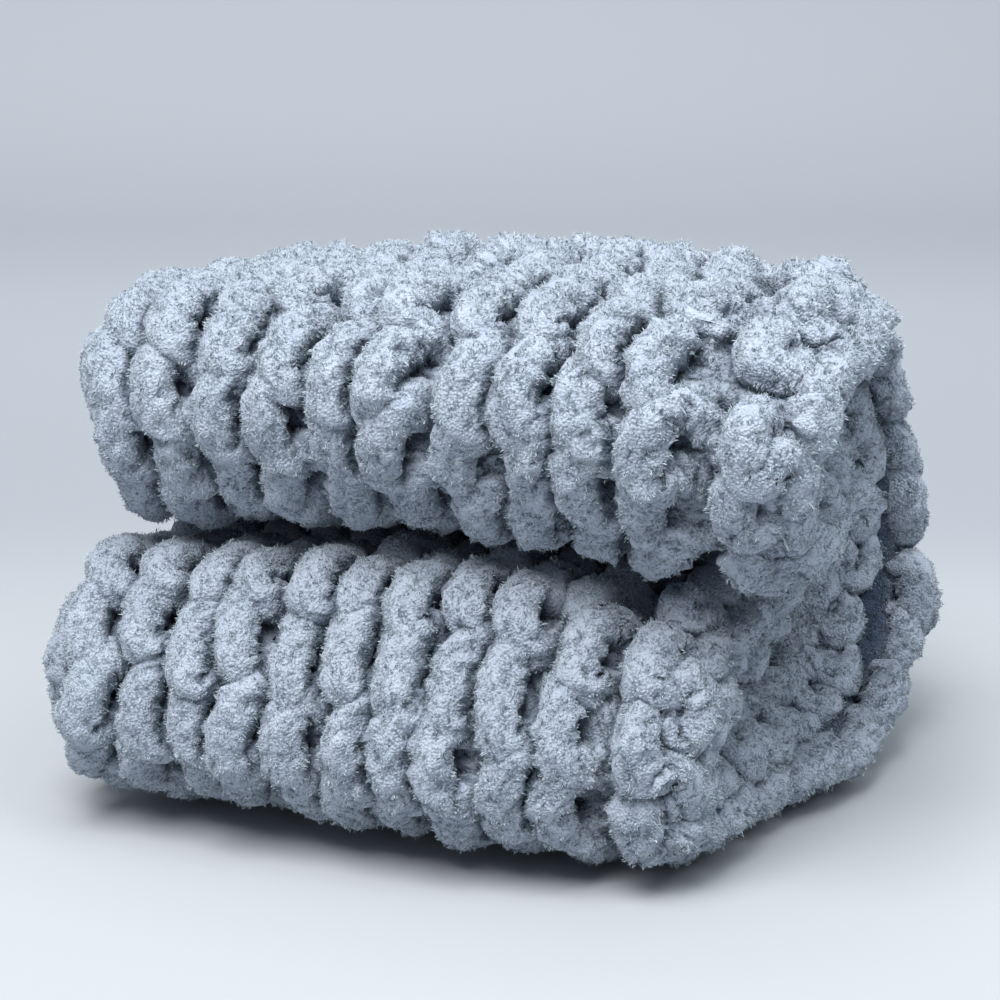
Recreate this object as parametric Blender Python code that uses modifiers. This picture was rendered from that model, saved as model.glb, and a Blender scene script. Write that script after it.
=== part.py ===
"""A chunky knit blanket, folded into a stack, as one sheet of real thickness.

The blanket is doubled about a fold at its left end, then both of its ends are turned in to
the middle, and then it is folded once more at the back. That leaves two soft folds at the
front, one on the other, a large fold at the back and the free edges at the right end.

Frame: metres, +X along the stack, +Y to its back, +Z up, origin under the middle of the stack.
"""

import math

import bmesh
import bpy

COLLECTION = "knit_blanket"
NODE = "blanket"

THICK = 0.033  # one layer of the knit, pressed by the layers above it
BUNDLE_GAP = 0.004  # between the lower and the upper bundle
LAYERS_IN_BUNDLE = 4

# One row for each station from the left end (0) to the right end (1) of the stack.
# front_low, front_up and back: how far out the cloth reaches, along Y.
# high_low and high_up: heights of the two bundles. flap_low and flap_up: where the
# turned-in ends stop, along Y.
STATION_COLUMNS = ("along", "front_low", "front_up", "back", "high_low", "high_up", "flap_low", "flap_up")
STATIONS = (
    (0.00, -0.174, -0.145, 0.170, 0.158, 0.139, 0.044, 0.014),
    (0.25, -0.180, -0.159, 0.183, 0.162, 0.150, 0.053, 0.043),
    (0.50, -0.183, -0.166, 0.190, 0.166, 0.154, 0.060, 0.050),
    (0.75, -0.178, -0.172, 0.193, 0.161, 0.155, 0.059, 0.056),
    (1.00, -0.164, -0.177, 0.190, 0.153, 0.154, 0.055, 0.054),
)

# One row for each place on the way round the folds, counted in runs (see RUN_STEPS): where the
# doubling fold lies, along X, then the free edges of the outer and of the inner layer.
EDGES = (
    (0.0, -0.166, 0.176, 0.168),
    (1.5, -0.178, 0.156, 0.158),
    (2.5, -0.172, 0.182, 0.168),
    (3.0, -0.168, 0.210, 0.188),
    (3.4, -0.166, 0.222, 0.196),
    (3.8, -0.167, 0.206, 0.190),
    (4.1, -0.168, 0.205, 0.194),
    (4.5, -0.170, 0.222, 0.206),
    (5.5, -0.172, 0.212, 0.202),
    (7.0, -0.166, 0.204, 0.196),
)
TABLES_MIDDLE = (0.0038, 0.0050)  # the middle of the stack, in the X and Y of the tables above

# Grid steps along each run of the section: lower flap, lower fold, bottom, back fold, top,
# upper fold, upper flap.
RUN_STEPS = (5, 8, 5, 14, 5, 8, 5)
LAYER_STEPS = 14  # along the stack, in each of the two doubled layers
TURN_STEPS = 6  # round the doubling fold
EDGE_ROUND = 0.009
EDGE_ROUND_SEGMENTS = 2
EDGE_ANGLE = math.radians(60)

YARN_COLOUR = (0.33, 0.42, 0.52, 1.0)
YARN_ROUGHNESS = 0.95


def clear_scene():
    for obj in list(bpy.data.objects):
        bpy.data.objects.remove(obj, do_unlink=True)


def blend_rows(rows, at):
    """The columns of a table after the first, eased between its rows by a cubic through them."""
    low = 0
    while low < len(rows) - 2 and rows[low + 1][0] <= at:
        low += 1
    start, end = rows[low], rows[low + 1]
    before = rows[max(low - 1, 0)]
    after = rows[min(low + 2, len(rows) - 1)]
    span = end[0] - start[0]
    t = (at - start[0]) / span
    values = []
    for i in range(1, len(start)):
        slope_start = (end[i] - before[i]) / (end[0] - before[0]) * span
        slope_end = (after[i] - start[i]) / (after[0] - start[0]) * span
        values.append(
            (2 * t**3 - 3 * t**2 + 1) * start[i]
            + (t**3 - 2 * t**2 + t) * slope_start
            + (3 * t**2 - 2 * t**3) * end[i]
            + (t**3 - t**2) * slope_end
        )
    return values


def section_at(along):
    """The seven runs that the middle of the doubled cloth takes at one station, and its two pitches.

    A run is ("line", from_y, to_y, z, outward_z) or ("arc", y, z, radius, from_angle, to_angle).
    """
    station = dict(zip(STATION_COLUMNS[1:], blend_rows(STATIONS, along)))
    pitch_low = (station["high_low"] - THICK) / (LAYERS_IN_BUNDLE - 1)
    pitch_up = (station["high_up"] - THICK) / (LAYERS_IN_BUNDLE - 1)
    half_low = (pitch_low + THICK) / 2
    half_up = (pitch_up + THICK) / 2
    fold_low = station["high_low"] / 2 - half_low
    fold_up = station["high_up"] / 2 - half_up
    floor = half_low
    top = station["high_low"] + BUNDLE_GAP + station["high_up"] - half_up
    back = (top - floor) / 2
    y_low = station["front_low"] + half_low + fold_low
    y_up = station["front_up"] + half_up + fold_up
    y_back = station["back"] - (half_low + half_up) / 2 - back
    quarter = math.pi / 2
    runs = (
        ("line", station["flap_low"], y_low, floor + 2 * fold_low, 1),
        ("arc", y_low, floor + fold_low, fold_low, quarter, 3 * quarter),
        ("line", y_low, y_back, floor, -1),
        ("arc", y_back, floor + back, back, -quarter, quarter),
        ("line", y_back, y_up, top, 1),
        ("arc", y_up, top - fold_up, fold_up, quarter, 3 * quarter),
        ("line", y_up, station["flap_up"], top - 2 * fold_up, -1),
    )
    return runs, pitch_low, pitch_up


def middle_at(section, way):
    """Place, outward direction and pitch of the doubled cloth's middle at a way round the folds."""
    runs, pitch_low, pitch_up = section
    number = min(int(way), len(runs) - 1)
    part = way - number
    run = runs[number]
    if run[0] == "line":
        _, start, end, z, outward = run
        place = (start + (end - start) * part, z)
        out = (0.0, float(outward))
    else:
        _, y, z, radius, start, end = run
        angle = start + (end - start) * part
        out = (math.cos(angle), math.sin(angle))
        place = (y + radius * out[0], z + radius * out[1])
    rise = min(max(way - 3, 0.0), 1.0)
    return place, out, pitch_low + (pitch_up - pitch_low) * rise


def cloth_point(across, way):
    """A point of the cloth's middle surface.

    across runs from the outer layer's free edge (0) to the doubling fold (1 to 2) and on to the
    inner layer's free edge (3).
    """
    left, right_outer, right_inner = blend_rows(EDGES, way)
    if across <= 1:
        along, turn, right = 1 - across, 0.0, right_outer
    elif across < 2:
        along, turn, right = 0.0, math.pi * (across - 1), right_outer
    else:
        along, turn, right = across - 2, math.pi, right_inner
    (y, z), out, pitch = middle_at(section_at(along), way)
    offset = pitch / 2 * math.cos(turn)
    x = left + (right - left) * along - pitch / 2 * math.sin(turn)
    return x - TABLES_MIDDLE[0], y + out[0] * offset - TABLES_MIDDLE[1], z + out[1] * offset


def way_of(row):
    """The way round the folds of a grid row."""
    for number, steps in enumerate(RUN_STEPS):
        if row <= steps:
            return number + row / steps
        row -= steps
    return float(len(RUN_STEPS))


def across_of(column):
    """The place across the cloth of a grid column."""
    for number, steps in enumerate((LAYER_STEPS, TURN_STEPS, LAYER_STEPS)):
        if column <= steps:
            return number + column / steps
        column -= steps
    return 3.0


def folded_cloth():
    """The cloth's middle surface, a flat grid laid round the folds."""
    columns = 2 * LAYER_STEPS + TURN_STEPS
    rows = sum(RUN_STEPS)
    bm = bmesh.new()
    bmesh.ops.create_grid(bm, x_segments=columns, y_segments=rows, size=0.5)
    for vertex in bm.verts:
        column = round((vertex.co.x + 0.5) * columns)
        row = round((vertex.co.y + 0.5) * rows)
        vertex.co = cloth_point(across_of(column), way_of(row))
    mesh = bpy.data.meshes.new(NODE)
    bm.to_mesh(mesh)
    bm.free()
    return mesh


def yarn_material():
    material = bpy.data.materials.new("chenille_yarn")
    material.use_nodes = True
    shader = material.node_tree.nodes["Principled BSDF"]
    shader.inputs["Base Color"].default_value = YARN_COLOUR
    shader.inputs["Roughness"].default_value = YARN_ROUGHNESS
    shader.inputs["Metallic"].default_value = 0.0
    return material


def blanket():
    """The folded cloth at its full thickness, its free edges rounded."""
    obj = bpy.data.objects.new(NODE, folded_cloth())
    obj.data.materials.append(yarn_material())
    thickness = obj.modifiers.new("thickness", "SOLIDIFY")
    thickness.thickness = THICK
    thickness.offset = 0.0
    rounding = obj.modifiers.new("rounded_edges", "BEVEL")
    rounding.width = EDGE_ROUND
    rounding.segments = EDGE_ROUND_SEGMENTS
    rounding.limit_method = "ANGLE"
    rounding.angle_limit = EDGE_ANGLE
    return obj


def main():
    clear_scene()
    collection = bpy.data.collections.new(COLLECTION)
    bpy.context.scene.collection.children.link(collection)
    collection.objects.link(blanket())


main()
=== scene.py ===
"""The looks of a folded blanket knitted from one very thick chenille yarn.

The cloth follows the folds of its solid: doubled, its ends folded in, and folded once more with the
big fold at the back. The knitting is laid on that cloth row by row, each row one length of yarn with
its purl side out. A chain of loops binds each free edge, a dark web of painted shade fills the holes
between the loops, and short loose fibres stand out of the yarn wherever it shows. Shade is also
painted into the yarn and its fibres where they sit deep, between tufts and in shut-in places, and
the paper behind takes on painted shade and light.
"""

import math

import bmesh
import bpy
import numpy as np
from mathutils import Matrix, Vector

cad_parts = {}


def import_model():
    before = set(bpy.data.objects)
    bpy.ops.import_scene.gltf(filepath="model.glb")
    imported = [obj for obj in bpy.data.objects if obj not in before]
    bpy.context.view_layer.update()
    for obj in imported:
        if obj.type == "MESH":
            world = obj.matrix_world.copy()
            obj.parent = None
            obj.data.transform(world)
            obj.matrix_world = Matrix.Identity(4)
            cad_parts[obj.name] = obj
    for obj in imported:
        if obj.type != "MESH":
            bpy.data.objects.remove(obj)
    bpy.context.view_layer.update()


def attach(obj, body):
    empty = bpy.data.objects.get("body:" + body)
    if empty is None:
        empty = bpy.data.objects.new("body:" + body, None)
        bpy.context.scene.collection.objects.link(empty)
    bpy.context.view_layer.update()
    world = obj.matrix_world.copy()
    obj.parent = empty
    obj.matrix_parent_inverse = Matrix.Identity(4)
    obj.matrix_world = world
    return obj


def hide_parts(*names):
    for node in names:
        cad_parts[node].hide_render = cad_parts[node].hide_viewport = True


BODY = "root"
NODE = "blanket"

# The folds of the cloth, in metres, as in the solid that it stands for. For each station from the
# left end (0) to the right end (1): how far out the cloth reaches and where its turned-in ends stop,
# along Y, and the heights of the two bundles.
THICK = 0.033
BUNDLE_GAP = 0.004
LAYERS_IN_BUNDLE = 4
STATION_COLUMNS = ("along", "front_low", "front_up", "back", "high_low", "high_up", "flap_low", "flap_up")
STATIONS = (
    (0.00, -0.174, -0.145, 0.170, 0.158, 0.139, 0.044, 0.014),
    (0.25, -0.180, -0.159, 0.183, 0.162, 0.150, 0.053, 0.043),
    (0.50, -0.183, -0.166, 0.190, 0.166, 0.154, 0.060, 0.050),
    (0.75, -0.178, -0.172, 0.193, 0.161, 0.155, 0.059, 0.056),
    (1.00, -0.164, -0.177, 0.190, 0.153, 0.154, 0.055, 0.054),
)
# Way round the folds, then x at the doubling fold and at the outer and inner layers' free edges.
EDGES = (
    (0.0, -0.166, 0.176, 0.168),
    (1.5, -0.178, 0.156, 0.158),
    (2.5, -0.172, 0.182, 0.168),
    (3.0, -0.168, 0.210, 0.188),
    (3.4, -0.166, 0.222, 0.196),
    (3.8, -0.167, 0.206, 0.190),
    (4.1, -0.168, 0.205, 0.194),
    (4.5, -0.170, 0.222, 0.206),
    (5.5, -0.172, 0.212, 0.202),
    (7.0, -0.166, 0.204, 0.196),
)
TABLES_MIDDLE = (0.0038, 0.0050)
WHOLE_ACROSS = 3.0
WHOLE_WAY = 7.0

# How finely the cloth is sampled before the yarn is laid on it.
ACROSS_SAMPLES = 73
WAY_SAMPLES = 449
LENGTH_SAMPLES = 701

# Soft pushes that settle the pile of cloth unevenly: centre, reach along each axis and how far,
# all in metres. The first rows shape the two front folds: the upper one leans out at its top,
# the lower one bulges below, and its underside curls up from the floor.
PUSHES = (
    ((-0.02, -0.17, 0.174), (0.240, 0.080, 0.050), (0.000, 0.000, 0.016)),
    ((0.00, -0.18, 0.130), (0.300, 0.060, 0.032), (0.000, 0.012, 0.000)),
    ((-0.13, -0.17, 0.000), (0.170, 0.080, 0.040), (0.000, 0.010, 0.014)),
    ((0.13, -0.17, 0.000), (0.080, 0.060, 0.035), (0.000, 0.006, 0.006)),
    ((0.00, -0.18, 0.205), (0.300, 0.060, 0.035), (0.000, 0.012, 0.000)),
    ((0.00, -0.16, 0.290), (0.300, 0.050, 0.040), (0.000, -0.008, 0.000)),
    ((-0.16, -0.05, 0.300), (0.100, 0.120, 0.050), (0.000, 0.000, 0.005)),
    ((-0.19, -0.12, 0.285), (0.050, 0.050, 0.050), (-0.010, 0.000, 0.004)),
    ((-0.20, -0.13, 0.215), (0.042, 0.042, 0.042), (0.013, 0.000, 0.000)),
    ((-0.20, -0.12, 0.155), (0.045, 0.045, 0.045), (-0.012, 0.000, 0.006)),
    ((-0.220, -0.15, 0.060), (0.070, 0.080, 0.070), (-0.010, 0.000, 0.000)),
    ((0.190, -0.02, 0.315), (0.060, 0.060, 0.060), (0.000, 0.000, 0.009)),
    ((0.220, 0.15, 0.240), (0.060, 0.060, 0.060), (-0.010, 0.000, 0.000)),
    ((0.205, 0.03, 0.105), (0.050, 0.055, 0.030), (-0.022, 0.000, 0.000)),
    ((0.215, 0.16, 0.060), (0.045, 0.045, 0.045), (0.014, 0.000, 0.000)),
)
# No yarn comes nearer to the floor than FLOOR_CLEAR: heights ease up to it over FLOOR_SOFT, and are
# left alone from FLOOR_FREE times that above it.
FLOOR_CLEAR = 0.0025
FLOOR_SOFT = 0.004
FLOOR_FREE = 20

# The knitting, in metres: how its loops lie on the cloth. Their heads stand out on the purl side,
# tilted a little over each other like shingles, and their legs dive between the heads.
SEED = 41
STITCHES = 31
POINTS_PER_STITCH = 72
ROW_LENGTH = 1.38
FIRST_ROW = 0.049
ROW_PITCH = 0.0322
LOOP_HEIGHT = 0.053
ARC_SPREAD = 0.0175
LEAN = -0.004
HEAD_RISE = 0.0135
DIVE = 2.2
DIVE_AT = 0.42
SHINGLE = 0.0050
SHINGLE_SLOPE = 1.4
SHINGLE_START = 0.2
SINK = 0.0088
YARN_RADIUS = 0.0123
YARN_SWELL = 0.06
# How far a row's start drifts, in stitches, and how far its loops wander, in metres; thickness is a
# share of the yarn's radius.
ROW_DRIFT = 0.25
ROW_WANDER = {"lean": 0.004, "along": 0.0035, "across": 0.0030, "height": 0.0020, "thickness": 0.035}
# What lies behind the cloth's middle is pressed flatter, to a share of its depth: the second share
# is for the free edges, within EDGE_REACH, where the yarn also counts as lying further out by the
# last of these, so that it gets less painted shade there.
BACK_SQUEEZE = 0.85
EDGE_SQUEEZE = 0.45
EDGE_REACH = 0.060
EDGE_LESS_SHADE = 0.006

# The chain of loops along each free edge, in metres. None of it gets the painted shade of sunk yarn,
# so all of its yarn counts as lying at one given height over the cloth.
EDGE_LOOPS = 30
EDGE_INSET = 0.014
EDGE_SWING = 0.0120
EDGE_SPREAD = 0.0100
EDGE_RISE = 0.0080
EDGE_TWIST = 0.0045
EDGE_SINK = 0.0045
EDGE_RADIUS = 0.0123
EDGE_SWELL = 0.08
EDGE_SHADE_HEIGHT = 0.018
EDGE_WANDER = {"along": 0.0040, "across": 0.0035, "height": 0.0025, "thickness": 0.05}

# The dark web of painted shade in the holes: its steps across and along the cloth, and how far it
# keeps from the cloth's edges, from its middle and from the floor.
WEB_STEPS = (44, 150)
WEB_INSET = 0.022
WEB_HEIGHT = -0.013
WEB_FLOOR_CLEAR = 0.006
WEB_THICK = 0.003

# The yarn's mesh in its kinds of place: the reach of the finer side from straight out, in degrees,
# the steps on that side and behind, and the ring spacing on the heads and the legs.
MESH_COLUMNS = ("reach", "outer", "inner", "heads", "legs")
MESHES = {
    "close": (88, 14, 4, 0.0027, 0.0055),
    "far": (92, 9, 3, 0.0045, 0.0075),
    "hidden": (90, 4, 3, 0.0120, 0.0160),
}
# Yarn above this height is a head. The chain at the edges has its own mesh, and ring spacings for
# the outer layer's edge, for the inner layer's and for where it is hidden.
HEADS_ABOVE = -0.004
EDGE_MESH = (150, 16, 3)
EDGE_RINGS = {"outer": 0.0028, "inner": 0.0042, "hidden": 0.008}
FEWEST_RINGS = 8
# How far the stretches of one row run on into each other, in points, and the faces of one piece.
OVERLAP = 10
MOST_FACES = 62000
# How wide the rings are that close the end of a length of yarn in a dome, and what counts as one
# point when the ends and the sides of its mesh are joined.
DOME = (0.0, 0.55, 0.86)
SAME_POINT = 1e-6

# The side from which the blanket is mostly seen, and how far yarn may face away and still show.
SEEN_FROM = (0.314, -0.913, 0.259)
FACES_AWAY = -0.15
# What lies hidden, in ways round the folds: the folded-in ends, their edges and the underside. And
# in metres from the free edges: the inner layer that shows, and the yarn that is always fine.
FOLDED_IN = (1.05, 6.0)
FOLDED_IN_EDGE = (1.0, 6.2)
UNDER = (1.9, 2.95)
INNER_SHOWS = 0.075
NEAR_EDGE = 0.06

# The pile, in metres: how far single points of the yarn stray, and its longer swells. Points that
# stray outwards count as tips of the pile, and so do swells.
POINT_RISE = 0.00045
POINT_SPREAD = 0.25
SWELL_SIZE = 0.0060
SWELL_RISE = 0.0015
STRAY_SHARE = 0.55
SWELL_SHARE = 0.45
PILE_MOST = 2.0
# The pile is smoother at the left end and ruffled at the right: places along X, and shares.
RUFFLED = ((-0.20, 0.05, 0.20), (0.65, 1.00, 1.15))
# Heights over the cloth where painted shade on sunk yarn starts, and where it is darkest.
DEPTH_TOP = 0.010
DEPTH_END = -0.013

# The tufts that the loose fibres gather in, in metres and shares of a tuft: how high they stand,
# how far their middles rise over their rims, how unlike they are, and how fibres lean into them.
TUFT_SIZE = 0.0050
TUFT_RISE = 0.0030
TUFT_MIDDLE = 0.40
TUFT_UNEVEN = 0.35
GATHER = 0.80
TUFT_LEAN = 0.30
# The fibres: how slanted and turned, and how long and wide in metres they are. Their lengths vary
# between two shares, larger ones are longer by a power of their size, and part of each is rooted in
# the yarn. The last is the most in one piece.
FIBRE_LEAN = 0.22
FIBRE_TURN = 0.5
FIBRE_LENGTH = 0.0021
FIBRE_WIDTH = 0.00066
FIBRE_LENGTHS = (0.7, 1.3)
LONGER_BY_SIZE = 0.4
ROOTED = 0.25
MOST_FIBRES = 190000
# How many there are on each square metre of yarn, and their size, where the yarn is seen from the
# front and where only from other sides.
SEEN_FIBRES = (850000.0, 1.0)
OTHER_FIBRES = (110000.0, 1.6)
OTHER_SIDES = ((-1.0, -0.3, 0.3), (-0.4, 0.9, 0.4), (0.9, 0.5, 0.3), (0.0, 0.1, 1.0))
# How the painted shade of a fibre changes with its place: painted shade on the rims between tufts,
# from this far out of a tuft's middle and over this width, each tuft's own tone, painted shade for its
# depth in the knitting, and painted shade at its root.
CRACK_AT = 0.34
CRACK_WIDTH = 0.24
CRACK_SHADE = 0.72
TUFT_TONE = 0.84
TUFT_TONES = 0.22
DEPTH_SHADE = 0.85
ROOT_SHADE = 0.34
# How much painted shade the fibres get in shut-in places, as places along X and shares, and how much
# painted shade the yarn under them gets there.
FIBRE_SHUT_IN_SHADE = ((-0.20, 0.05, 0.18), (0.52, 0.66, 0.92))
YARN_SHUT_IN_SHADE = 0.8

# What shows from one side is told apart over cells of this size, with this much slack, in metres.
# A side counts as the top from this share of straight down on.
VIEW_CELL = 0.004
VIEW_SLACK = 0.006
STRAIGHT_DOWN = 0.9
# How shut in a place is, for the painted shade there: the yarn fills cells of this size, in shells
# at these shares of its radius, and is looked for straight in front at these distances, each with its
# weight. Valleys between loops are told by the broader crowd at VALLEY_AT. Sums from the least to the
# most crowd make a place from open to shut in.
CROWD_CELL = 0.003
CROWD_MARGIN = 0.03
CROWD_SHELLS = (1.0, 0.66, 0.33)
CROWD_STEPS = ((0.006, 0.45), (0.011, 0.35), (0.017, 0.20))
VALLEY_AT = 0.005
VALLEY_LEAST = 0.19
VALLEY_WEIGHT = 0.8
CROWD_LEAST = 0.03
CROWD_MOST = 0.50

# Colours of the yarn: the tips of its pile, painted shade in its depths, its faint patches and painted
# shade on its sunk parts.
YARN_TIP = (0.38, 0.43, 0.51, 1.0)
YARN_PIT_SHADE = (0.09, 0.115, 0.16, 1.0)
YARN_PATCH = (0.90, 0.91, 0.93, 1.0)
YARN_SUNK_SHADE = (0.11, 0.14, 0.19, 1.0)
YARN_SHEEN = (0.80, 0.87, 1.0, 1.0)
FIBRE_TIP = (0.625, 0.710, 0.775, 1.0)
# Painted shade: a fibre's colour at its root and wherever it is fully shaded.
FIBRE_SHADED = (0.030, 0.062, 0.085, 1.0)
# Painted shade: the near-black colour of the web in the holes.
WEB_SHADE = (0.022, 0.030, 0.040, 1.0)
ROUGH = 0.95
PILE_BUMP = 0.0018
# The pattern of the pile: tufts, fibres and patches on each metre, how much tufts and fibres add to
# its height, how much the mesh adds to its tips, the heights that are told apart for the painted
# shade in its pits, the patches that are told apart, and how the fibres are drawn out round the yarn.
TUFTS_PER_METRE = 560.0
FIBRES_PER_METRE = 900.0
PATCHES_PER_METRE = 45.0
TUFT_EDGE = (0.75, 0.1)
TUFT_HEIGHT = 0.40
FIBRE_HEIGHT = 0.60
MESH_TIPS = 0.13
TIPS_FROM_TO = (0.06, 0.46)
PATCHES_FROM_TO = (0.3, 0.7)
FIBRES_DRAWN_OUT = (0.5, 1.0, 1.0)

# The camera, in metres and degrees.
CAMERA_AZIMUTH = math.radians(19)
CAMERA_ELEVATION = math.radians(15)
CAMERA_DISTANCE = 1.38
CAMERA_TARGET = Vector((0.0006, -0.0035, 0.173))
LENS_MM = 85.0
SENSOR_MM = 36.0

# The paper under and behind the blanket: its edge view, from the front to the top, in metres, and
# how far it spreads to each side.
COVE_PROFILE = (
    (-6.0, 0.0),
    (2.0, 0.0),
    (2.3, 0.01),
    (2.6, 0.10),
    (2.8, 0.35),
    (2.85, 0.70),
    (2.85, 3.5),
)
COVE_REACH = 6.0
COVE_SMOOTH = 2
# Its tone on the floor, and the painted shade and painted light that it takes on further behind,
# each between two distances: darker first, then paler again.
FLOOR_PAPER = (0.395, 0.415, 0.441, 1.0)
PAPER_SHADE_AND_LIGHT = (
    ((0.15, 0.60), (0.326, 0.349, 0.385, 1.0)),
    ((0.50, 1.70), (0.434, 0.464, 0.508, 1.0)),
)

# Soft lights: name, place, size, power and colour, all turned to one place over the floor.
LIGHTS = (
    ("key", (-0.20, -2.30, 3.85), 2.5, 296.0, (1.0, 0.99, 0.98)),
    ("fill", (1.8, -0.6, 2.3), 1.4, 22.0, (0.92, 0.985, 1.0)),
    ("top", (0.3, 0.0, 2.3), 1.6, 22.0, (0.96, 0.98, 1.0)),
)
LIGHT_AIM = (0.0, 0.0, 0.15)
AIR_COLOUR = (0.82, 0.89, 0.96, 1.0)
AIR_STRENGTH = 0.37

rng = np.random.default_rng(SEED)
pile_rng = np.random.default_rng(SEED + 1)


def blend_rows(rows, at):
    """The columns of a table after the first, eased between its rows by a cubic through them."""
    low = 0
    while low < len(rows) - 2 and rows[low + 1][0] <= at:
        low += 1
    start, end = rows[low], rows[low + 1]
    before = rows[max(low - 1, 0)]
    after = rows[min(low + 2, len(rows) - 1)]
    span = end[0] - start[0]
    t = (at - start[0]) / span
    values = []
    for i in range(1, len(start)):
        slope_start = (end[i] - before[i]) / (end[0] - before[0]) * span
        slope_end = (after[i] - start[i]) / (after[0] - start[0]) * span
        values.append(
            (2 * t**3 - 3 * t**2 + 1) * start[i]
            + (t**3 - 2 * t**2 + t) * slope_start
            + (3 * t**2 - 2 * t**3) * end[i]
            + (t**3 - t**2) * slope_end
        )
    return values


def section_at(along):
    """The seven runs of the doubled cloth's middle at one station, and its two pitches."""
    station = dict(zip(STATION_COLUMNS[1:], blend_rows(STATIONS, along)))
    pitch_low = (station["high_low"] - THICK) / (LAYERS_IN_BUNDLE - 1)
    pitch_up = (station["high_up"] - THICK) / (LAYERS_IN_BUNDLE - 1)
    half_low = (pitch_low + THICK) / 2
    half_up = (pitch_up + THICK) / 2
    fold_low = station["high_low"] / 2 - half_low
    fold_up = station["high_up"] / 2 - half_up
    floor = half_low
    top = station["high_low"] + BUNDLE_GAP + station["high_up"] - half_up
    back = (top - floor) / 2
    y_low = station["front_low"] + half_low + fold_low
    y_up = station["front_up"] + half_up + fold_up
    y_back = station["back"] - (half_low + half_up) / 2 - back
    quarter = math.pi / 2
    runs = (
        ("line", station["flap_low"], y_low, floor + 2 * fold_low, 1),
        ("arc", y_low, floor + fold_low, fold_low, quarter, 3 * quarter),
        ("line", y_low, y_back, floor, -1),
        ("arc", y_back, floor + back, back, -quarter, quarter),
        ("line", y_back, y_up, top, 1),
        ("arc", y_up, top - fold_up, fold_up, quarter, 3 * quarter),
        ("line", y_up, station["flap_up"], top - 2 * fold_up, -1),
    )
    return runs, pitch_low, pitch_up


def middle_at(section, way):
    """Place, outward direction and pitch of the doubled cloth's middle at a way round the folds."""
    runs, pitch_low, pitch_up = section
    number = min(int(way), len(runs) - 1)
    part = way - number
    run = runs[number]
    if run[0] == "line":
        _, start, end, z, outward = run
        place = (start + (end - start) * part, z)
        out = (0.0, float(outward))
    else:
        _, y, z, radius, start, end = run
        angle = start + (end - start) * part
        out = (math.cos(angle), math.sin(angle))
        place = (y + radius * out[0], z + radius * out[1])
    rise = min(max(way - 3, 0.0), 1.0)
    return place, out, pitch_low + (pitch_up - pitch_low) * rise


def cloth_place(across, way):
    """A point of the cloth's middle surface, and the direction that its purl side faces there."""
    left, right_outer, right_inner = blend_rows(EDGES, way)
    if across <= 1:
        along, turn, right = 1 - across, 0.0, right_outer
    elif across < 2:
        along, turn, right = 0.0, math.pi * (across - 1), right_outer
    else:
        along, turn, right = across - 2, math.pi, right_inner
    (y, z), out, pitch = middle_at(section_at(along), way)
    offset = pitch / 2 * math.cos(turn)
    x = left + (right - left) * along - pitch / 2 * math.sin(turn)
    point = (x - TABLES_MIDDLE[0], y + out[0] * offset - TABLES_MIDDLE[1], z + out[1] * offset)
    facing = (-math.sin(turn), out[0] * math.cos(turn), out[1] * math.cos(turn))
    return point, facing


def length_along(points):
    """How far along a line each of its points is."""
    steps = np.linalg.norm(np.diff(points, axis=0), axis=1)
    return np.concatenate([[0.0], np.cumsum(steps)])


def eased(part):
    """From 0 to 1, starting and ending gently."""
    return part * part * (3 - 2 * part)


class Cloth:
    """The folded cloth as a map from its flat size: a share of its length, and metres across it."""

    def __init__(self):
        across = np.linspace(0.0, WHOLE_ACROSS, ACROSS_SAMPLES)
        ways = np.linspace(0.0, WHOLE_WAY, WAY_SAMPLES)
        shares = np.linspace(0.0, 1.0, LENGTH_SAMPLES)
        self.points = np.empty((len(across), len(shares), 3))
        self.facing = np.empty_like(self.points)
        self.ways = np.empty((len(across), len(shares)))
        for i, a in enumerate(across):
            places = [cloth_place(a, way) for way in ways]
            points = np.array([point for point, _ in places])
            facing = np.array([out for _, out in places])
            length = length_along(points)
            at = shares * length[-1]
            for axis in range(3):
                self.points[i, :, axis] = np.interp(at, length, points[:, axis])
                self.facing[i, :, axis] = np.interp(at, length, facing[:, axis])
            self.ways[i] = np.interp(at, length, ways)
        widths = np.linalg.norm(np.diff(self.points, axis=0), axis=2).mean(axis=1)
        self.metres = np.concatenate([[0.0], np.cumsum(widths)])
        self.width = self.metres[-1]
        self.turned_width = np.interp(2.0, across, self.metres)

    def from_edge(self, metres):
        """0 at a free edge, easing to 1 a short way into the cloth."""
        reach = np.minimum(metres, self.width - metres) / EDGE_REACH
        return eased(np.clip(reach, 0.0, 1.0))

    def sample(self, grid, share, metres):
        """The values of a grid over the cloth at these places on it."""
        i = np.interp(metres, self.metres, np.arange(ACROSS_SAMPLES))
        j = np.clip(share, 0.0, 1.0) * (LENGTH_SAMPLES - 1)
        i0 = np.clip(i.astype(int), 0, ACROSS_SAMPLES - 2)
        j0 = np.clip(j.astype(int), 0, LENGTH_SAMPLES - 2)
        fi, fj = i - i0, j - j0
        if grid.ndim == 3:
            fi, fj = fi[:, None], fj[:, None]
        return (
            grid[i0, j0] * (1 - fi) * (1 - fj)
            + grid[i0 + 1, j0] * fi * (1 - fj)
            + grid[i0, j0 + 1] * (1 - fi) * fj
            + grid[i0 + 1, j0 + 1] * fi * fj
        )

    def lay(self, share, metres, height):
        """Points at these heights over the cloth, the cloth's outward directions and the ways."""
        facing = self.sample(self.facing, share, metres)
        facing /= np.linalg.norm(facing, axis=1)[:, None]
        points = self.sample(self.points, share, metres) + facing * height[:, None]
        return pushed(points), facing, self.sample(self.ways, share, metres)


def pushed(points):
    for centre, reach, far in PUSHES:
        away = (((points - np.array(centre)) / np.array(reach)) ** 2).sum(axis=1)
        points = points + np.exp(-away)[:, None] * np.array(far)
    return points


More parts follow.
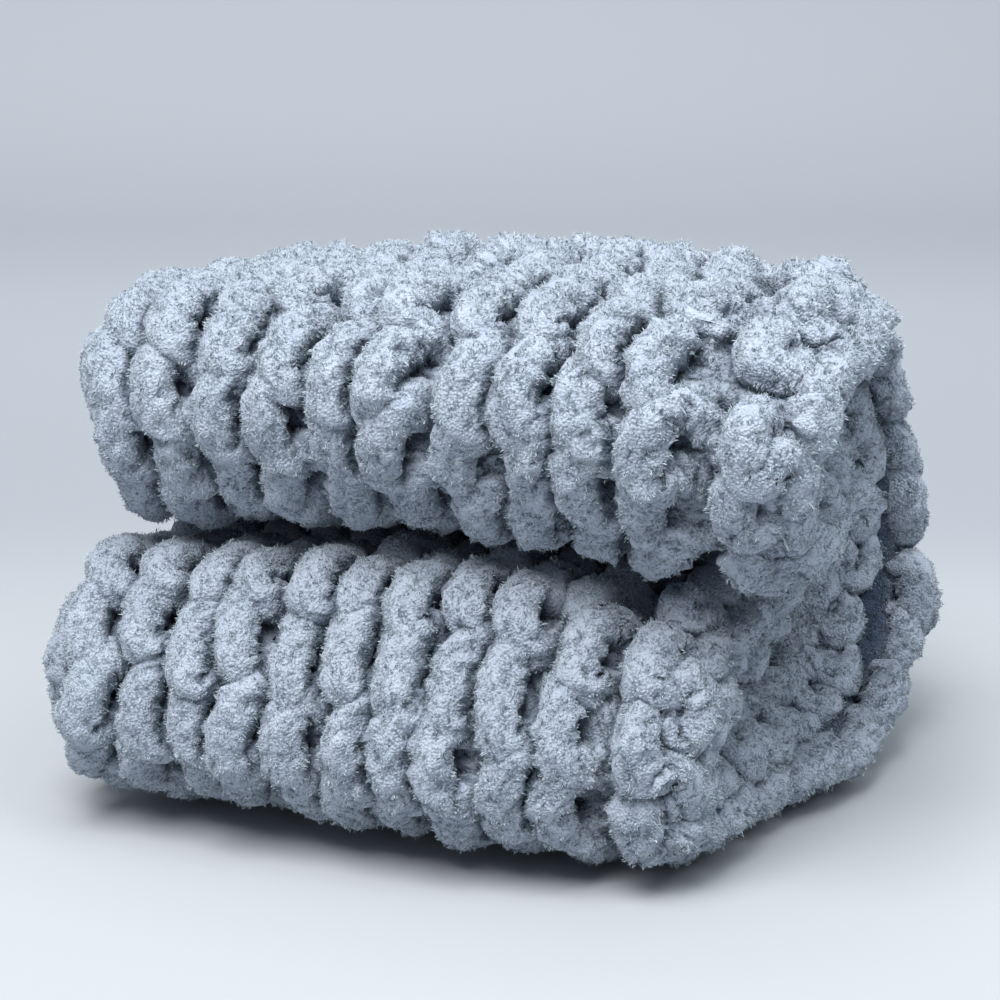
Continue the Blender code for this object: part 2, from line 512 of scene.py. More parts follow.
def above_floor(z, least):
    """Heights eased so that none is below the least."""
    over = (z - least) / FLOOR_SOFT
    lifted = np.log1p(np.exp(np.minimum(over, FLOOR_FREE)))
    return least + FLOOR_SOFT * np.where(over > FLOOR_FREE, over, lifted)


def wander(t, amount):
    """A smooth random drift along t, new at each whole half stitch."""
    first = math.floor(t[0] / math.pi) - 1
    last = math.ceil(t[-1] / math.pi) + 2
    knots = rng.normal(0.0, amount, last - first + 1)
    place = t / math.pi - first
    low = place.astype(int)
    part = eased(place - low)
    return knots[low] * (1 - part) + knots[low + 1] * part


def row_line(cloth, metres):
    """The middle line of one knitted row: points, outward directions, heights, ways and radii."""
    t = np.linspace(0.0, 2 * math.pi * STITCHES, POINTS_PER_STITCH * STITCHES + 1)
    drift = rng.uniform(-ROW_DRIFT, ROW_DRIFT)
    lean = LEAN + wander(t, ROW_WANDER["lean"])
    along = ARC_SPREAD * np.sin(2 * t) + wander(t, ROW_WANDER["along"])
    share = (t / (2 * math.pi) + drift) / STITCHES + along / ROW_LENGTH
    sideways = metres + LOOP_HEIGHT / 2 * np.cos(t) - lean * np.sin(t)
    sideways = sideways + wander(t, ROW_WANDER["across"])
    on_head = np.clip(SHINGLE_SLOPE * np.cos(t) + SHINGLE_START, 0.0, 1.0)
    height = (
        HEAD_RISE * np.tanh(DIVE * (np.cos(t) - DIVE_AT))
        + SHINGLE * np.sin(t) * on_head
        + wander(t, ROW_WANDER["height"])
    )
    inside = cloth.from_edge(sideways)
    squeeze = EDGE_SQUEEZE + (BACK_SQUEEZE - EDGE_SQUEEZE) * inside
    height = np.where(height < 0, height * squeeze, height) - SINK
    points, facing, ways = cloth.lay(share, sideways, height)
    radius = YARN_RADIUS * (1 + YARN_SWELL * np.cos(2 * t) + wander(t, ROW_WANDER["thickness"]))
    # Near the free edges the heights count as lying a little further out, for less painted shade there.
    return points, facing, height + SINK + EDGE_LESS_SHADE * (1 - inside), ways, radius


def edge_line(cloth, metres, inward):
    """The middle line of the loops that bind a free edge, turned out over it like fingers."""
    t = np.linspace(0.0, 2 * math.pi * EDGE_LOOPS, POINTS_PER_STITCH * EDGE_LOOPS + 1)
    along = EDGE_SPREAD * np.sin(2 * t) + wander(t, EDGE_WANDER["along"])
    share = t / (2 * math.pi) / EDGE_LOOPS + along / ROW_LENGTH
    sideways = metres + inward * (EDGE_SWING * np.cos(t) + wander(t, EDGE_WANDER["across"]))
    height = EDGE_RISE * np.cos(t) + EDGE_TWIST * np.sin(t) + wander(t, EDGE_WANDER["height"])
    points, facing, ways = cloth.lay(share, sideways, height - EDGE_SINK)
    radius = EDGE_RADIUS * (1.0 + EDGE_SWELL * np.cos(2 * t) + wander(t, EDGE_WANDER["thickness"]))
    # All of its yarn counts as lying at one height, so it gets no painted shade for sitting deep.
    return points, facing, np.full(len(t), EDGE_SHADE_HEIGHT), ways, radius


def ring_places(points, spacing):
    """Where along a line its rings go, so that they are about this far apart everywhere."""
    steps = np.linalg.norm(np.diff(points, axis=0), axis=1)
    middle = (spacing[1:] + spacing[:-1]) / 2
    count = np.concatenate([[0.0], np.cumsum(steps / middle)])
    rings = max(int(round(count[-1])), FEWEST_RINGS)
    return np.interp(np.linspace(0.0, count[-1], rings + 1), count, np.arange(len(points)))


def taken(values, places):
    """A line's values at places between its points."""
    low = np.clip(places.astype(int), 0, len(values) - 2)
    part = places - low
    if values.ndim == 2:
        part = part[:, None]
    return values[low] * (1 - part) + values[low + 1] * part


def ring_angles(reach, outer, inner):
    """Angles round the yarn from its outward side: close on the side that shows, wide behind."""
    reach = math.radians(reach)
    front = np.linspace(-reach, reach, outer + 1)
    behind = np.linspace(reach, 2 * math.pi - reach, inner + 1)
    return np.concatenate([front, behind[1:]])


def swells(along, around):
    """Smooth random heights over a yarn's surface."""
    i = along / SWELL_SIZE
    j = (around - around[0]) / SWELL_SIZE
    knots = pile_rng.normal(0.0, 1.0, (int(i[-1]) + 2, int(j[-1]) + 2))
    low_i, low_j = i.astype(int), j.astype(int)
    part_i = eased((i - low_i)[:, None])
    part_j = eased((j - low_j)[None, :])
    near, far = knots[low_i], knots[low_i + 1]
    left = near[:, low_j] * (1 - part_i) + far[:, low_j] * part_i
    right = near[:, low_j + 1] * (1 - part_i) + far[:, low_j + 1] * part_i
    return left * (1 - part_j) + right * part_j


# Painted shade: yarn that sits deep in the knitting is darkened by this much.
def depth_at(outward):
    """How deep in the knitting a height over the cloth is, from 0 to 1."""
    return np.clip((DEPTH_TOP - outward) / (DEPTH_TOP - DEPTH_END), 0.0, 1.0)


def add_yarn(group, line, spacing, angles, tufted, fibres):
    """One closed length of yarn with rounded ends and its pile, added to a bmesh."""
    places = ring_places(line[0], spacing)
    points, facing, height, _, radius = (taken(part, places) for part in line)
    along = np.gradient(points, axis=0)
    along /= np.linalg.norm(along, axis=1)[:, None]
    out = facing - (facing * along).sum(axis=1)[:, None] * along
    out /= np.linalg.norm(out, axis=1)[:, None]
    side = np.cross(along, out)
    scale = np.concatenate([DOME, np.ones(len(points) - 2 * len(DOME)), DOME[::-1]])
    rings, around = len(points), len(angles)
    length = length_along(points)
    swell = swells(length, angles * YARN_RADIUS)
    stray = pile_rng.normal(0.0, 1.0, (rings, around))
    spread = pile_rng.normal(0.0, POINT_SPREAD, (rings, around, 2)) * tufted
    # The last point of each ring is its first one again.
    for part in (swell, stray, spread):
        part[:, -1] = part[:, 0]
    ruffled = np.interp(points[:, 0], *RUFFLED)[:, None]
    rise = (SWELL_RISE * swell + POINT_RISE * stray * tufted) * ruffled
    pile = np.clip(stray * STRAY_SHARE + swell * SWELL_SHARE, -PILE_MOST, PILE_MOST) * ruffled
    step = YARN_RADIUS * (angles[1] - angles[0])
    turned = angles[None, :] + spread[..., 0] * step / YARN_RADIUS
    reach = (radius[:, None] + rise) * scale[:, None]
    outward = height[:, None] + reach * np.cos(turned)
    # Painted shade where the yarn sits deep in the knitting.
    painted_shade = depth_at(outward)
    verts = (
        points[:, None, :]
        + (reach * np.cos(turned))[..., None] * out[:, None, :]
        + (reach * np.sin(turned))[..., None] * side[:, None, :]
        + (spread[..., 1] * step * scale[:, None])[..., None] * along[:, None, :]
    )
    verts[..., 2] = above_floor(verts[..., 2], FLOOR_CLEAR)
    fibres.note(verts, out, side, along, angles, length, outward)
    tube = bmesh.new()
    tube.loops.layers.uv.new("yarn")
    bmesh.ops.create_grid(tube, x_segments=around - 1, y_segments=rings - 1, size=0.5, calc_uvs=True)
    shade_of_yarn = tube.verts.layers.float.new("painted_shade")
    fluffy = tube.verts.layers.float.new("pile")
    for vertex in tube.verts:
        place = round((vertex.co.x + 0.5) * (around - 1))
        ring = round((vertex.co.y + 0.5) * (rings - 1))
        vertex.co = verts[ring, place]
        vertex[shade_of_yarn] = painted_shade[ring, place]
        vertex[fluffy] = pile[ring, place]
    bmesh.ops.remove_doubles(tube, verts=tube.verts, dist=SAME_POINT)
    bmesh.ops.recalc_face_normals(tube, faces=tube.faces)
    mesh = bpy.data.meshes.new("yarn")
    tube.to_mesh(mesh)
    tube.free()
    # The yarn's own map: metres round it, and metres along it.
    uv = np.empty(len(mesh.loops) * 2, np.float32)
    mesh.uv_layers["yarn"].data.foreach_get("uv", uv)
    uv = uv.reshape(-1, 2)
    uv[:, 0] = np.interp(uv[:, 0] * (around - 1), np.arange(around), angles * YARN_RADIUS)
    uv[:, 1] = np.interp(uv[:, 1] * (rings - 1), np.arange(rings), length)
    mesh.uv_layers["yarn"].data.foreach_set("uv", uv.ravel())
    group.from_mesh(mesh)
    bpy.data.meshes.remove(mesh)


class View:
    """The yarn as it shows from far off in one direction, over a grid of small cells."""

    def __init__(self, cloud, direction):
        self.toward = np.array(direction) / np.linalg.norm(direction)
        upright = (0.0, 1.0, 0.0) if direction[2] > STRAIGHT_DOWN else (0.0, 0.0, 1.0)
        right = np.cross(upright, self.toward)
        self.plane = np.stack([right, np.cross(self.toward, right)], axis=1)
        self.corner = (cloud @ self.plane).min(axis=0)
        cells = self.cells(cloud)
        self.nearest = np.full(cells.max(axis=0) + 1, -np.inf)
        np.maximum.at(self.nearest, tuple(cells.T), cloud @ self.toward)

    def cells(self, points):
        return ((points @ self.plane - self.corner) / VIEW_CELL).astype(int)

    def shows(self, points, facing):
        """Which points lie in front, on yarn that faces this way."""
        cells = self.cells(points.reshape(-1, 3))
        front = points.reshape(-1, 3) @ self.toward > self.nearest[tuple(cells.T)] - VIEW_SLACK
        return front.reshape(points.shape[:2]) & (facing @ self.toward > FACES_AWAY)


class Crowd:
    """Where there is yarn, in small cells, and how shut in that makes a place on the pile."""

    def __init__(self, lengths):
        shells = []
        for verts, *_ in lengths:
            middle = verts.mean(axis=1, keepdims=True)
            shells.extend((middle + (verts - middle) * part).reshape(-1, 3) for part in CROWD_SHELLS)
        cloud = np.concatenate(shells)
        self.corner = cloud.min(axis=0) - CROWD_MARGIN
        cells = self.cells(cloud)
        filled = np.zeros(cells.max(axis=0) + int(2 * CROWD_MARGIN / CROWD_CELL))
        filled[tuple(cells.T)] = 1.0
        self.near = self.blurred(filled, 1)
        self.broad = self.blurred(filled, 2)

    def blurred(self, filled, reach):
        """Each cell's mean over the cells around it."""
        for axis in range(3):
            filled = sum(np.roll(filled, step, axis) for step in range(-reach, reach + 1))
        return filled / (2 * reach + 1) ** 3

    def cells(self, points):
        return ((points - self.corner) / CROWD_CELL).astype(int)

    def ahead(self, field, points, facing, reach):
        """A field's values that far in front of the points, where the floor counts as full."""
        places = points + facing * reach
        cells = np.clip(self.cells(places), 0, np.array(field.shape) - 1)
        return np.where(places[:, 2] < 0.0, 1.0, field[tuple(cells.T)])

    def shut_in(self, points, facing):
        """From 0 in the open to 1 where yarn or the floor lies straight in front."""
        total = np.clip(self.ahead(self.broad, points, facing, VALLEY_AT) - VALLEY_LEAST, 0, 1)
        total *= VALLEY_WEIGHT
        for reach, weight in CROWD_STEPS:
            total += weight * self.ahead(self.near, points, facing, reach)
        return eased(np.clip((total - CROWD_LEAST) / (CROWD_MOST - CROWD_LEAST), 0.0, 1.0))

    def paint_shade(self, piece):
        """Paints shade into the shut-in places of a piece of yarn."""
        mesh = piece.data
        count = len(mesh.vertices)
        points, facing, shade_of_yarn = np.empty(count * 3), np.empty(count * 3), np.empty(count)
        mesh.vertices.foreach_get("co", points)
        mesh.vertices.foreach_get("normal", facing)
        mesh.attributes["painted_shade"].data.foreach_get("value", shade_of_yarn)
        shut = self.shut_in(points.reshape(-1, 3), facing.reshape(-1, 3)) * YARN_SHUT_IN_SHADE
        mesh.attributes["painted_shade"].data.foreach_set("value", np.maximum(shade_of_yarn, shut))


def tufts(along, around):
    """The tufts that fibres gather in: their lean along and round the yarn, how far out of the
    middle of its tuft each one is, and each tuft's own share."""
    i = along / TUFT_SIZE
    j = (around - around.min()) / TUFT_SIZE
    seeds = pile_rng.uniform(0.0, 1.0, (int(i.max()) + 3, int(j.max()) + 3, 5))
    nearest = np.full(len(i), np.inf)
    lean = np.zeros((len(i), 2))
    share = np.zeros(len(i))
    for step_i in range(3):
        for step_j in range(3):
            cell_i = i.astype(int) + step_i
            cell_j = j.astype(int) + step_j
            seed = seeds[cell_i, cell_j]
            to_seed = np.stack([cell_i - 1 + seed[:, 0] - i, cell_j - 1 + seed[:, 1] - j], axis=1)
            away = np.linalg.norm(to_seed, axis=1)
            closer = away < nearest
            own = (seed[:, 2:4] - 0.5) * 2 * TUFT_LEAN
            lean = np.where(closer[:, None], to_seed * GATHER * 2 + own, lean)
            share = np.where(closer, seed[:, 4], share)
            nearest = np.where(closer, away, nearest)
    return lean, nearest, share


class Fibres:
    """The loose fibres that stand out of the pile, over all the yarn that shows."""

    def __init__(self):
        self.lengths = []
        self.corners = []
        self.shades = []

    def note(self, *length_of_yarn):
        """Keeps a length of yarn, for its fibres to be grown once all the yarn is laid."""
        self.lengths.append(length_of_yarn)

    def grow_all(self, crowd):
        cloud = np.concatenate([verts.reshape(-1, 3) for verts, *_ in self.lengths])
        front = View(cloud, SEEN_FROM)
        others = [View(cloud, side) for side in OTHER_SIDES]
        for yarn in self.lengths:
            verts, out, side, _, angles, _, _ = yarn
            radial = (
                np.cos(angles)[None, :, None] * out[:, None, :]
                + np.sin(angles)[None, :, None] * side[:, None, :]
            )
            seen = front.shows(verts, radial)
            elsewhere = np.any([view.shows(verts, radial) for view in others], axis=0)
            self.grow(crowd, yarn, seen, *SEEN_FIBRES)
            self.grow(crowd, yarn, elsewhere & ~seen, *OTHER_FIBRES)

    def grow(self, crowd, yarn, where, density, size):
        """Fibres over the marked places of one length of yarn."""
        verts, out, side, along, angles, length, outward = yarn
        a = verts[:-1, :-1]
        u = verts[:-1, 1:] - a
        v = verts[1:, :-1] - a
        area = np.linalg.norm(np.cross(u, v), axis=2)
        number = pile_rng.poisson(area * where[:-1, :-1] * density)
        ring, place = np.nonzero(number)
        times = number[ring, place]
        ring, place = np.repeat(ring, times), np.repeat(place, times)
        count = len(ring)
        if not count:
            return
        s, t = pile_rng.uniform(0.0, 1.0, (2, count))
        root = a[ring, place] + u[ring, place] * s[:, None] + v[ring, place] * t[:, None]
        angle = angles[place] + (angles[place + 1] - angles[place]) * s
        run = length[ring] + (length[ring + 1] - length[ring]) * t
        lean, off_middle, share = tufts(run, angle * YARN_RADIUS)
        lean += pile_rng.normal(0.0, FIBRE_LEAN, (count, 2))
        radial = np.cos(angle)[:, None] * out[ring] + np.sin(angle)[:, None] * side[ring]
        turning = np.cos(angle)[:, None] * side[ring] - np.sin(angle)[:, None] * out[ring]
        way = radial + lean[:, :1] * along[ring] + lean[:, 1:] * turning
        way /= np.linalg.norm(way, axis=1)[:, None]
        across = np.cross(way, radial + pile_rng.normal(0.0, FIBRE_TURN, (count, 3)))
        across /= np.linalg.norm(across, axis=1)[:, None]
        ruffled = np.interp(root[:, 0], *RUFFLED)
        lift = TUFT_RISE * ruffled * (TUFT_MIDDLE - off_middle + TUFT_UNEVEN * (share - 0.5))
        root = root + radial * lift[:, None]
        # Painted shade on the rims between tufts, where the yarn sits deep and where it is shut in.
        crack = np.clip((off_middle - CRACK_AT) / CRACK_WIDTH, 0.0, 1.0) * np.minimum(ruffled, 1.0)
        shut = crowd.shut_in(root, radial) * np.interp(root[:, 0], *FIBRE_SHUT_IN_SHADE)
        shade = 1 - np.maximum(DEPTH_SHADE * depth_at(outward[ring, place]), shut)
        shade = shade * (1 - CRACK_SHADE * crack) * (TUFT_TONE + TUFT_TONES * share)
        # Painted shade at the roots.
        self.shades.append(np.stack([shade * ROOT_SHADE, shade * ROOT_SHADE, shade], axis=1))
        long = FIBRE_LENGTH * size**LONGER_BY_SIZE * pile_rng.uniform(*FIBRE_LENGTHS, (count, 1))
        wide = FIBRE_WIDTH * size
        base = root - way * ROOTED * long
        tip = root + way * (1 - ROOTED) * long
        tip[:, 2] = np.maximum(tip[:, 2], FLOOR_CLEAR / 2)
        first, second = base - across * wide / 2, base + across * wide / 2
        faces_out = ((np.cross(second - first, tip - first) * radial).sum(axis=1) > 0)[:, None]
        first, second = np.where(faces_out, first, second), np.where(faces_out, second, first)
        self.corners.append(np.stack([first, second, tip], axis=1))

    def finish(self, crowd, material):
        """The fibres as pieces, each fibre one narrow blade."""
        self.grow_all(crowd)
        corners = np.concatenate(self.corners)
        shades = np.concatenate(self.shades)
        pieces = []
        parts = math.ceil(len(corners) / MOST_FIBRES)
        for part, shade in zip(np.array_split(corners, parts), np.array_split(shades, parts)):
            count = len(part)
            mesh = bpy.data.meshes.new(f"loose_fibres_{len(pieces) + 1}")
            mesh.vertices.add(count * 3)
            mesh.vertices.foreach_set("co", part.astype(np.float32).ravel())
            mesh.loops.add(count * 3)
            mesh.loops.foreach_set("vertex_index", np.arange(count * 3, dtype=np.int32))
            mesh.polygons.add(count)
            mesh.polygons.foreach_set("loop_start", np.arange(0, count * 3, 3, dtype=np.int32))
            mesh.update(calc_edges=True)
            shaded = mesh.attributes.new("shade", "FLOAT", "POINT")
            shaded.data.foreach_set("value", shade.astype(np.float32).ravel())
            pieces.append(riding(mesh, material))
        return pieces


def placed(mesh, material):
    """A mesh as an object in its material."""
    mesh.materials.append(material)
    obj = bpy.data.objects.new(mesh.name, mesh)
    bpy.context.scene.collection.objects.link(obj)
    return obj


def riding(mesh, material):
    """A mesh as an object that rides with the blanket."""
    obj = placed(mesh, material)
    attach(obj, BODY)
    return obj


def smooth_mesh(name, bm):
    mesh = bpy.data.meshes.new(name)
    bm.to_mesh(mesh)
    bm.free()
    mesh.shade_smooth()
    return mesh


def place_kinds(cloth, line, metres):
    """For each point of a row, how closely the yarn there is looked at."""
    _, facing, _, ways, _ = line
    folded_in = (ways < FOLDED_IN[0]) | (ways > FOLDED_IN[1])
    under = (ways > UNDER[0]) & (ways < UNDER[1])
    inner_layer = cloth.turned_width < metres < cloth.width - INNER_SHOWS
    near_edge = metres < NEAR_EDGE or metres > cloth.width - NEAR_EDGE
    seen = (facing @ np.array(SEEN_FROM) > FACES_AWAY) | near_edge
    shown = np.where(seen, "close", "far")
    return np.where(folded_in | under | inner_layer, "hidden", shown)


def stretches(kinds):
    """Runs of whole stitches of one kind, from sinker to sinker, as first and last points."""
    middles = kinds[::POINTS_PER_STITCH]
    runs = []
    start = 0
    for stitch in range(1, len(middles) + 1):
        if stitch == len(middles) or middles[stitch] != middles[start]:
            first = max((start * 2 - 1) * POINTS_PER_STITCH // 2 - OVERLAP, 0)
            last = min((stitch * 2 - 1) * POINTS_PER_STITCH // 2 + OVERLAP, len(kinds) - 1)
            runs.append((middles[start], first, last))
            start = stitch
    return runs


def add_row(group, line, kinds, fibres):
    """One row of loops, meshed in stretches, each as finely as it is looked at."""
    for kind, first, last in stretches(kinds):
        stretch = [part[first : last + 1] for part in line]
        if len(stretch[0]) < POINTS_PER_STITCH // 4:
            continue
        mesh = dict(zip(MESH_COLUMNS, MESHES[kind]))
        spacing = np.where(stretch[2] > HEADS_ABOVE, mesh["heads"], mesh["legs"])
        angles = ring_angles(mesh["reach"], mesh["outer"], mesh["inner"])
        add_yarn(group, stretch, spacing, angles, 0.0 if kind == "hidden" else 1.0, fibres)


def knit(cloth, material, fibres):
    """The rows of the knitting, a few to a piece."""
    pieces = []
    count = int((cloth.width - 2 * FIRST_ROW) / ROW_PITCH) + 1
    rows = FIRST_ROW + (cloth.width - 2 * FIRST_ROW) * np.arange(count) / (count - 1)
    group = bmesh.new()
    for metres in rows:
        line = row_line(cloth, metres)
        add_row(group, line, place_kinds(cloth, line, metres), fibres)
        if len(group.faces) > MOST_FACES or metres == rows[-1]:
            pieces.append(riding(smooth_mesh(f"knit_rows_{len(pieces) + 1}", group), material))
            group = bmesh.new()
    group.free()
    return pieces


def edge_cords(cloth, material, fibres):
    """The cast-on and bound-off edges, a chain of loops along each free edge."""
    group = bmesh.new()
    for metres, inward, rings in (
        (EDGE_INSET, 1, EDGE_RINGS["outer"]),
        (cloth.width - EDGE_INSET, -1, EDGE_RINGS["inner"]),
    ):
        line = edge_line(cloth, metres, inward)
        ways = line[3]
        hidden = (ways < FOLDED_IN_EDGE[0]) | (ways > FOLDED_IN_EDGE[1])
        spacing = np.where(hidden, EDGE_RINGS["hidden"], rings)
        add_yarn(group, line, spacing, ring_angles(*EDGE_MESH), 1.0, fibres)
    return riding(smooth_mesh("edge_cords", group), material)


def shade_web(cloth, material):
    """The thin dark web between the loops, painted shade in the holes, on the same folds as the cloth."""
    across, along = WEB_STEPS
    bm = bmesh.new()
    bmesh.ops.create_grid(bm, x_segments=across, y_segments=along, size=0.5)
    share = np.array([v.co.y + 0.5 for v in bm.verts])
    part = np.array([v.co.x + 0.5 for v in bm.verts])
    metres = WEB_INSET + (cloth.width - 2 * WEB_INSET) * part
    points, _, _ = cloth.lay(share, metres, np.full(len(share), WEB_HEIGHT))
    points[:, 2] = above_floor(points[:, 2], WEB_FLOOR_CLEAR)
    for vertex, point in zip(bm.verts, points):
        vertex.co = point
    bmesh.ops.recalc_face_normals(bm, faces=bm.faces)
    sheet = riding(smooth_mesh("painted_shade_web", bm), material)
    wall = sheet.modifiers.new("wall", "SOLIDIFY")
    wall.thickness = WEB_THICK
    wall.offset = 0.0
    return sheet


def new_group(name, inputs, outputs):
    group = bpy.data.node_groups.new(name, "ShaderNodeTree")
    for socket, value in inputs:
        made = group.interface.new_socket(socket, in_out="INPUT", socket_type="NodeSocketFloat")
        made.default_value = value
    for socket in outputs:
        group.interface.new_socket(socket, in_out="OUTPUT", socket_type="NodeSocketFloat")
    return group, group.nodes.new("NodeGroupInput"), group.nodes.new("NodeGroupOutput")


def math_node(nodes, links, operation, *values):
    node = nodes.new("ShaderNodeMath")
    node.operation = operation
    for socket, value in zip(node.inputs, values):
        if isinstance(value, float):
            socket.default_value = value
        else:
            links.new(value, socket)
    return node.outputs[0]


def ranged(nodes, links, value, low, high):
    """From 0 at the low value to 1 at the high one."""
    node = nodes.new("ShaderNodeMapRange")
    node.interpolation_type = "SMOOTHSTEP"
    links.new(value, node.inputs["Value"])
    node.inputs["From Min"].default_value = low
    node.inputs["From Max"].default_value = high
    return node.outputs["Result"]


def noise_of(nodes, links, place, scale, roughness):
    node = nodes.new("ShaderNodeTexNoise")
    links.new(place, node.inputs["Vector"])
    links.new(scale, node.inputs["Scale"])
    node.inputs["Detail"].default_value = 2.0
    node.inputs["Roughness"].default_value = roughness
    return node.outputs["Fac"]


def attribute(nodes, name):
    node = nodes.new("ShaderNodeAttribute")
    node.attribute_name = name
    return node.outputs["Fac"]


def mixed(nodes, links, factor, a, b, blend="MIX"):
    """A colour between two others, each a colour or another node's."""
    node = nodes.new("ShaderNodeMix")
    node.data_type = "RGBA"
    node.blend_type = blend
    links.new(factor, node.inputs["Factor"])
    for socket, colour in (("A", a), ("B", b)):
        if isinstance(colour, tuple):
            node.inputs[socket].default_value = colour
        else:
            links.new(colour, node.inputs[socket])
    return node.outputs["Result"]


def chenille_pile():
    """Short pile: how high each fibre stands, how near it is to a tip, which sets the painted shade in
    the pits, and faint patches.
    """
    group, given, made = new_group(
        "chenille_pile",
        (
            ("Tufts per metre", TUFTS_PER_METRE),
            ("Fibres per metre", FIBRES_PER_METRE),
            ("Patches per metre", PATCHES_PER_METRE),
        ),
        ("Height", "Tip", "Patch"),
    )
    nodes, links = group.nodes, group.links
    place = nodes.new("ShaderNodeTexCoord").outputs["Object"]
    patch = noise_of(nodes, links, place, given.outputs["Patches per metre"], 0.5)
    tuft = nodes.new("ShaderNodeTexVoronoi")
    tuft.feature = "F1"
    links.new(place, tuft.inputs["Vector"])
    links.new(given.outputs["Tufts per metre"], tuft.inputs["Scale"])
    grain = ranged(nodes, links, tuft.outputs["Distance"], *TUFT_EDGE)
    # Fibres lie round the yarn, so their pattern is drawn out that way.
    drawn = nodes.new("ShaderNodeMapping")
    links.new(nodes.new("ShaderNodeUVMap").outputs["UV"], drawn.inputs["Vector"])
    drawn.inputs["Scale"].default_value = FIBRES_DRAWN_OUT
    fibre = noise_of(nodes, links, drawn.outputs["Vector"], given.outputs["Fibres per metre"], 0.6)
    height = math_node(nodes, links, "MULTIPLY", grain, TUFT_HEIGHT)
    height = math_node(nodes, links, "MULTIPLY_ADD", fibre, FIBRE_HEIGHT, height)
    links.new(height, made.inputs["Height"])
    # The mesh of the yarn says where its pile stands, and the noise adds what is finer.
    tip = math_node(nodes, links, "MULTIPLY_ADD", attribute(nodes, "pile"), MESH_TIPS, height)
    links.new(ranged(nodes, links, tip, *TIPS_FROM_TO), made.inputs["Tip"])
    links.new(ranged(nodes, links, patch, *PATCHES_FROM_TO), made.inputs["Patch"])
    return group


def plain_material(name, colour):
    material = bpy.data.materials.new(name)
    material.use_nodes = True
    shader = material.node_tree.nodes["Principled BSDF"]
    shader.inputs["Base Color"].default_value = colour
    shader.inputs["Roughness"].default_value = ROUGH
    shader.inputs["Specular IOR Level"].default_value = 0.1
    return material


def yarn_material():
    """Pale at the tips of the pile, with painted shade between them and where the yarn is sunk or shut
    in.
    """
    material = plain_material("chenille_pile_yarn", YARN_TIP)
    nodes, links = material.node_tree.nodes, material.node_tree.links
    shader = nodes["Principled BSDF"]
    fluff = nodes.new("ShaderNodeGroup")
    fluff.node_tree = chenille_pile()
    # Painted shade in the pits of the pile.
    colour = mixed(nodes, links, fluff.outputs["Tip"], YARN_PIT_SHADE, YARN_TIP)
    colour = mixed(nodes, links, fluff.outputs["Patch"], colour, YARN_PATCH, "MULTIPLY")
    # Painted shade on yarn that sits deep or shut in.
    colour = mixed(nodes, links, attribute(nodes, "painted_shade"), colour, YARN_SUNK_SHADE, "MULTIPLY")
    links.new(colour, shader.inputs["Base Color"])
    bump = nodes.new("ShaderNodeBump")
    bump.inputs["Distance"].default_value = PILE_BUMP
    bump.inputs["Strength"].default_value = 0.9
    links.new(fluff.outputs["Height"], bump.inputs["Height"])
    links.new(bump.outputs["Normal"], shader.inputs["Normal"])
    shader.inputs["Specular IOR Level"].default_value = 0.15
    shader.inputs["Sheen Weight"].default_value = 0.35
    shader.inputs["Sheen Roughness"].default_value = 0.45
    shader.inputs["Sheen Tint"].default_value = YARN_SHEEN
    return material


def fibre_material():
    """Painted shade: dark at the root of a fibre, and at its tip as pale as the painted shade of its
    place allows.
    """
    material = plain_material("chenille_fibres", FIBRE_TIP)
    nodes, links = material.node_tree.nodes, material.node_tree.links
    colour = mixed(nodes, links, attribute(nodes, "shade"), FIBRE_SHADED, FIBRE_TIP)
    links.new(colour, nodes["Principled BSDF"].inputs["Base Color"])
    return material


def paper_material():
    """Pale paper, with painted shade and then painted light as the distance behind the blanket grows."""
    material = plain_material("studio_paper", FLOOR_PAPER)
    nodes, links = material.node_tree.nodes, material.node_tree.links
    shader = nodes["Principled BSDF"]
    shader.inputs["Roughness"].default_value = 0.9
    behind = nodes.new("ShaderNodeVectorMath")
    behind.operation = "DOT_PRODUCT"
    links.new(nodes.new("ShaderNodeTexCoord").outputs["Object"], behind.inputs[0])
    behind.inputs[1].default_value = (-math.sin(CAMERA_AZIMUTH), math.cos(CAMERA_AZIMUTH), 0.0)
    colour = FLOOR_PAPER
    # Painted shade, and further back painted light, by the distance behind the blanket.
    for turns, painted_tone in PAPER_SHADE_AND_LIGHT:
        factor = ranged(nodes, links, behind.outputs["Value"], *turns)
        colour = mixed(nodes, links, factor, colour, painted_tone)
    links.new(colour, shader.inputs["Base Color"])
    return material


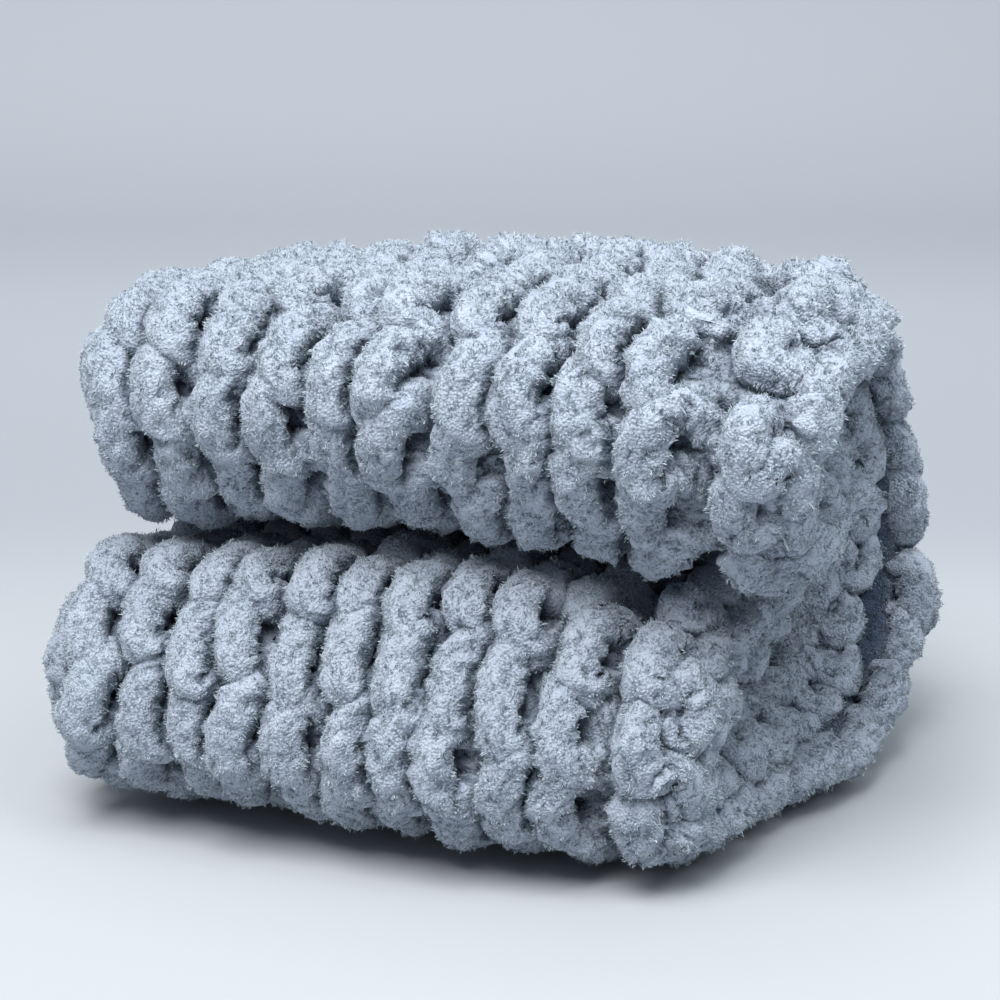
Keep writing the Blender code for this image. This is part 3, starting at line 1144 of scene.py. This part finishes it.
def studio():
    """A pale floor that curves up into a backdrop behind the blanket, seen square on."""
    steps = len(COVE_PROFILE) - 1
    bm = bmesh.new()
    bmesh.ops.create_grid(bm, x_segments=1, y_segments=steps, size=COVE_REACH)
    for vertex in bm.verts:
        step = round((vertex.co.y / COVE_REACH + 1) / 2 * steps)
        vertex.co.y, vertex.co.z = COVE_PROFILE[step]
    turn = Matrix.Rotation(CAMERA_AZIMUTH, 3, "Z")
    bmesh.ops.rotate(bm, verts=bm.verts, cent=(0, 0, 0), matrix=turn)
    cove = placed(smooth_mesh("studio_cove", bm), paper_material())
    rounding = cove.modifiers.new("smooth", "SUBSURF")
    rounding.levels = rounding.render_levels = COVE_SMOOTH


def lights():
    for name, place, size, power, colour in LIGHTS:
        light = bpy.data.lights.new(name, "AREA")
        light.shape = "SQUARE"
        light.size = size
        light.energy = power
        light.color = colour
        obj = bpy.data.objects.new(name, light)
        bpy.context.scene.collection.objects.link(obj)
        obj.location = place
        toward = Vector(LIGHT_AIM) - Vector(place)
        obj.rotation_euler = toward.to_track_quat("-Z", "Y").to_euler()
    world = bpy.data.worlds.new("studio_air")
    bpy.context.scene.world = world
    world.use_nodes = True
    background = world.node_tree.nodes["Background"]
    background.inputs["Color"].default_value = AIR_COLOUR
    background.inputs["Strength"].default_value = AIR_STRENGTH


def camera():
    data = bpy.data.cameras.new("camera")
    data.lens = LENS_MM
    data.sensor_width = SENSOR_MM
    obj = bpy.data.objects.new("camera", data)
    bpy.context.scene.collection.objects.link(obj)
    back = Vector(
        (
            math.sin(CAMERA_AZIMUTH) * math.cos(CAMERA_ELEVATION),
            -math.cos(CAMERA_AZIMUTH) * math.cos(CAMERA_ELEVATION),
            math.sin(CAMERA_ELEVATION),
        )
    )
    obj.location = CAMERA_TARGET + back * CAMERA_DISTANCE
    obj.rotation_euler = (-back).to_track_quat("-Z", "Y").to_euler()
    bpy.context.scene.camera = obj


def main():
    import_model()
    cloth = Cloth()
    yarn = yarn_material()
    fibres = Fibres()
    rows = knit(cloth, yarn, fibres)
    cords = edge_cords(cloth, yarn, fibres)
    crowd = Crowd(fibres.lengths)
    loose = fibres.finish(crowd, fibre_material())
    # Painted shade on the yarn in shut-in places.
    for piece in [*rows, cords]:
        crowd.paint_shade(piece)
    rows = [*rows, *loose]
    sheet = shade_web(cloth, plain_material("hole_shade", WEB_SHADE))
    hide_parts(NODE)
    studio()
    lights()
    camera()
    bpy.context.scene.view_settings.view_transform = "Standard"


main()
